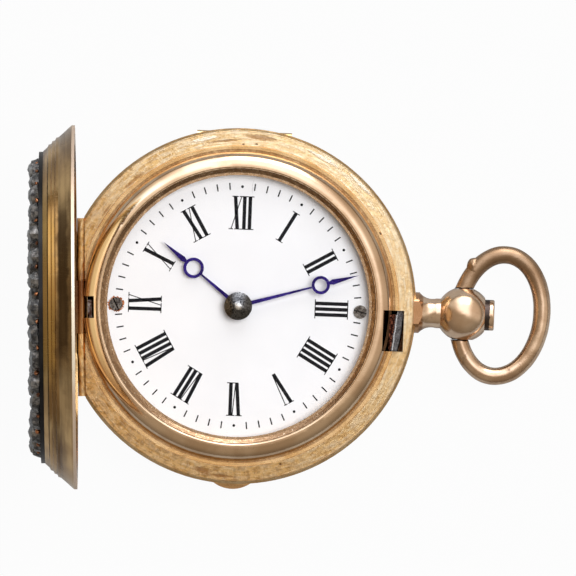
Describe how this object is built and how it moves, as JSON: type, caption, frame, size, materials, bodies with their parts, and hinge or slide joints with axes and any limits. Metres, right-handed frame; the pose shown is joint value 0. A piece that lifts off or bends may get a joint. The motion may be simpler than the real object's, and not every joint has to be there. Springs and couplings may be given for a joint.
{
  "type": "pendant watch",
  "caption": "Gold pendant watch with open stone-set front cover, white enamel dial, blued hands, ball pendant and oval bow.",
  "frame": {"origin": "case axis at the flat outer face of the closed back cover", "axes": "+Z out of the dial, +X towards the pendant at three o'clock, +Y towards twelve o'clock"},
  "size_m": [0.0446, 0.0308, 0.0338],
  "materials": {
    "case_gold": "brushed yellow-rose gold, worn",
    "cover_gold": "polished yellow-rose gold with fine wear",
    "bezel_gold": "polished yellow-rose gold",
    "pendant_gold": "polished copper-toned gold",
    "black_enamel": "black glossy enamel",
    "dark_silver": "blackened silver",
    "rose_cut_stone": "clear faceted stone",
    "watch_glass": "thin clear glass",
    "white_enamel": "white glossy enamel",
    "dial_copper": "plain copper",
    "blued_steel": "blued steel",
    "polished_steel": "polished steel",
    "spring_steel": "dark tempered steel",
    "gilt_brass": "fine gilt brass",
    "ruby": "red jewel"
  },
  "bodies": {
    "case": {"case_middle": "case_gold", "front_hinge_pin": "case_gold", "back_hinge_pin": "case_gold", "cuvette_hinge_pin": "case_gold", "case_spring_screws": "polished_steel", "bezel": "bezel_gold", "crystal": "watch_glass", "pendant": "pendant_gold", "main_plate": "gilt_brass", "case_screws": "polished_steel", "barrel_bridge": "gilt_brass", "centre_bridge": "gilt_brass", "third_bridge": "gilt_brass", "fourth_bridge": "gilt_brass", "escape_cock": "gilt_brass", "balance_cock": "gilt_brass", "bridge_screws": "polished_steel", "jewels": "ruby", "click_spring": "blued_steel", "hairspring": "blued_steel", "hairspring_stud": "polished_steel", "end_piece": "polished_steel", "dial_base": "dial_copper", "dial_enamel": "white_enamel", "dial_screws": "polished_steel"},
    "front_lid": {"front_cover": "cover_gold", "cover_enamel": "black_enamel", "stone_collets": "dark_silver", "cover_stones": "rose_cut_stone"},
    "back_lid": {"back_cover": "cover_gold"},
    "inner_lid": {"cuvette": "cover_gold"},
    "bow_body": {"bow": "pendant_gold"},
    "push_body": {"push_piece": "pendant_gold"},
    "lock_body": {"lock_spring": "spring_steel"},
    "lift_body": {"lift_spring": "spring_steel"},
    "barrel_body": {"barrel": "gilt_brass", "barrel_cover": "gilt_brass", "mainspring": "spring_steel"},
    "winding_body": {"barrel_arbor": "polished_steel", "ratchet_wheel": "polished_steel"},
    "click_body": {"click": "polished_steel"},
    "centre_body": {"centre_wheel": "gilt_brass"},
    "minute_body": {"setting_arbor": "polished_steel", "cannon_pinion": "polished_steel", "minute_hand": "blued_steel", "centre_cap": "polished_steel"},
    "minute_wheel_body": {"minute_wheel": "gilt_brass"},
    "hour_body": {"hour_wheel": "gilt_brass", "hour_hand": "blued_steel"},
    "third_body": {"third_wheel": "gilt_brass"},
    "fourth_body": {"fourth_wheel": "gilt_brass"},
    "escape_body": {"escape_wheel": "polished_steel"},
    "balance_body": {"balance_wheel": "gilt_brass", "balance_staff": "polished_steel"},
    "index_body": {"regulator": "polished_steel"}
  },
  "joints": [
    {"name": "front_cover_hinge", "type": "hinge", "parent": "case", "child": "front_lid", "pos_m": [-0.01319, -0.00058, 0.00531], "axis": [-0.0436, 0.999, 0], "range_deg": [0, 90], "stiffness_Nm_per_rad": 0.0012, "springref_deg": -28.65},
    {"name": "back_cover_hinge", "type": "hinge", "parent": "case", "child": "back_lid", "pos_m": [0, 0.0144, 0.0027], "axis": [1, 0, 0], "range_deg": [0, 95]},
    {"name": "cuvette_hinge", "type": "hinge", "parent": "case", "child": "inner_lid", "pos_m": [0, 0.0133, 0.0022], "axis": [1, 0, 0], "range_deg": [0, 72]},
    {"name": "bow_hinge", "type": "hinge", "parent": "case", "child": "bow_body", "pos_m": [0.019, 0, 0.00403], "axis": [0, 1, 0], "range_deg": [-100, 100]},
    {"name": "push_piece_slide", "type": "slide", "parent": "case", "child": "push_body", "axis": [-1, 0, 0], "range_m": [0, 0.0005], "stiffness_N_per_m": 1000},
    {"name": "lock_spring_flex", "type": "hinge", "parent": "case", "child": "lock_body", "pos_m": [0.00883, -0.00981, 0.00403], "axis": [0, 0, 1], "range_deg": [0, 3.1]},
    {"name": "lift_spring_flex", "type": "hinge", "parent": "case", "child": "lift_body", "pos_m": [-0.00788, -0.01027, 0.00403], "axis": [0, 0, 1], "range_deg": [-0.8, 0]},
    {"name": "fourth_wheel_turn", "type": "hinge", "parent": "case", "child": "fourth_body", "pos_m": [-0.00228, -0.00462, 0.00281], "axis": [0, 0, 1], "continuous": true},
    {"name": "third_wheel_turn", "type": "hinge", "parent": "case", "child": "third_body", "pos_m": [0.00105, -0.00391, 0.00281], "axis": [0, 0, 1], "continuous": true},
    {"name": "escape_wheel_turn", "type": "hinge", "parent": "case", "child": "escape_body", "pos_m": [-0.00513, -0.0051, 0.00281], "axis": [0, 0, 1], "continuous": true},
    {"name": "centre_wheel_turn", "type": "hinge", "parent": "case", "child": "centre_body", "pos_m": [0, 0, 0.00281], "axis": [0, 0, 1], "continuous": true},
    {"name": "minute_hand_turn", "type": "hinge", "parent": "case", "child": "minute_body", "pos_m": [0, 0, 0.00281], "axis": [0, 0, 1], "continuous": true},
    {"name": "minute_wheel_turn", "type": "hinge", "parent": "case", "child": "minute_wheel_body", "pos_m": [0.00226, -0.00082, 0.00491], "axis": [0, 0, 1], "continuous": true},
    {"name": "hour_hand_turn", "type": "hinge", "parent": "case", "child": "hour_body", "pos_m": [0, 0, 0.00491], "axis": [0, 0, 1], "continuous": true},
    {"name": "barrel_turn", "type": "hinge", "parent": "case", "child": "barrel_body", "pos_m": [0, 0.0054, 0.00281], "axis": [0, 0, 1], "continuous": true},
    {"name": "winding_turn", "type": "hinge", "parent": "case", "child": "winding_body", "pos_m": [0, 0.0054, 0.00281], "axis": [0, 0, 1], "continuous": true},
    {"name": "click_lift", "type": "hinge", "parent": "case", "child": "click_body", "pos_m": [0.0034, 0.0052, 0.00104], "axis": [0, 0, -1], "range_deg": [0, 10]},
    {"name": "balance_swing", "type": "hinge", "parent": "case", "child": "balance_body", "pos_m": [-0.0066, -0.0036, 0.00281], "axis": [0, 0, 1], "range_deg": [-135, 135], "stiffness_Nm_per_rad": 0.000000087},
    {"name": "regulator_shift", "type": "hinge", "parent": "case", "child": "index_body", "pos_m": [-0.0066, -0.0036, 0.00104], "axis": [0, 0, 1], "range_deg": [-15, 15]}
  ],
  "couplings": [
    {"joint": "cuvette_hinge", "follows": "back_cover_hinge", "ratio": 0.75},
    {"joint": "lock_spring_flex", "follows": "push_piece_slide", "rad_per_m": 106},
    {"joint": "lift_spring_flex", "follows": "front_cover_hinge", "ratio": -0.0085},
    {"joint": "third_wheel_turn", "follows": "fourth_wheel_turn", "ratio": -0.13333},
    {"joint": "escape_wheel_turn", "follows": "fourth_wheel_turn", "ratio": -10},
    {"joint": "centre_wheel_turn", "follows": "fourth_wheel_turn", "ratio": 0.016667},
    {"joint": "minute_hand_turn", "follows": "fourth_wheel_turn", "ratio": 0.016667},
    {"joint": "minute_wheel_turn", "follows": "fourth_wheel_turn", "ratio": -0.0055556},
    {"joint": "hour_hand_turn", "follows": "fourth_wheel_turn", "ratio": 0.0013889},
    {"joint": "barrel_turn", "follows": "fourth_wheel_turn", "ratio": -0.0020833}
  ]
}
